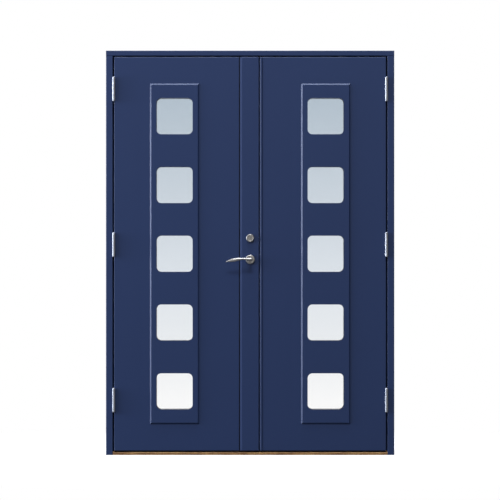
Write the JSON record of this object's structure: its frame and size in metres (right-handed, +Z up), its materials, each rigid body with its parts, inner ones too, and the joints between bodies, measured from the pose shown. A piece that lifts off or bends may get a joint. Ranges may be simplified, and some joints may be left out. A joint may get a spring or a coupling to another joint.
{
  "type": "pair of front doors in a frame",
  "caption": "Painted front door of two outward-opening leaves with a column of small square windows in each, in a rebated frame with oak threshold, lift-off hinges and lever handle.",
  "frame": {"origin": "middle of the threshold's underside, at half the frame's depth", "axes": "+X to the right as seen from outside, +Y indoors, +Z up"},
  "size_m": [1.49, 0.1688, 2.09],
  "materials": {
    "blue_paint": "satin dark blue paint on board and timber",
    "oak": "oiled oak",
    "glass": "pale sealed glazing",
    "spacer_aluminium": "dull",
    "black_rubber": "matt",
    "bright_zinc": "bright zinc plate",
    "satin_steel": "satin brushed",
    "lock_steel": "brushed"
  },
  "bodies": {
    "frame": {"left_jamb": "blue_paint", "right_jamb": "blue_paint", "head": "blue_paint", "threshold": "oak", "left_jamb_seal": "black_rubber", "right_jamb_seal": "black_rubber", "head_seal": "black_rubber", "left_bottom_hinge_frame_half": "bright_zinc", "left_middle_hinge_frame_half": "bright_zinc", "left_top_hinge_frame_half": "bright_zinc", "right_bottom_hinge_frame_half": "bright_zinc", "right_middle_hinge_frame_half": "bright_zinc", "right_top_hinge_frame_half": "bright_zinc"},
    "left_leaf": {"left_leaf_slab": "blue_paint", "left_outside_board": "blue_paint", "left_inside_board": "blue_paint", "left_outside_panes": "glass", "left_inside_panes": "glass", "left_window_spacers": "spacer_aluminium", "left_bottom_sweep": "black_rubber", "left_bottom_hinge_leaf_half": "bright_zinc", "left_middle_hinge_leaf_half": "bright_zinc", "left_top_hinge_leaf_half": "bright_zinc", "cover_strip": "blue_paint", "outside_lever_rose": "satin_steel", "inside_lever_rose": "satin_steel", "outside_cylinder": "satin_steel", "thumb_turn": "satin_steel", "lock_forend": "lock_steel"},
    "lever": {"outside_lever": "satin_steel", "inside_lever": "satin_steel"},
    "right_leaf": {"right_leaf_slab": "blue_paint", "right_outside_board": "blue_paint", "right_inside_board": "blue_paint", "right_outside_panes": "glass", "right_inside_panes": "glass", "right_window_spacers": "spacer_aluminium", "right_bottom_sweep": "black_rubber", "right_bottom_hinge_leaf_half": "bright_zinc", "right_middle_hinge_leaf_half": "bright_zinc", "right_top_hinge_leaf_half": "bright_zinc", "meeting_seal": "black_rubber", "strike_plate": "lock_steel", "bottom_flush_bolt": "lock_steel", "top_flush_bolt": "lock_steel"}
  },
  "joints": [
    {"name": "left_leaf_swing", "type": "hinge", "parent": "frame", "child": "left_leaf", "pos_m": [-0.7045, -0.066, 1.087], "axis": [0, 0, -1], "range_deg": [0, 110]},
    {"name": "right_leaf_swing", "type": "hinge", "parent": "frame", "child": "right_leaf", "pos_m": [0.7045, -0.066, 1.087], "axis": [0, 0, 1], "range_deg": [0, 110]},
    {"name": "lever_turn", "type": "hinge", "parent": "left_leaf", "child": "lever", "pos_m": [0, -0.0595, 1.011], "axis": [0, -1, 0], "range_deg": [0, 45], "stiffness_Nm_per_rad": 2, "springref_deg": -28.65}
  ]
}
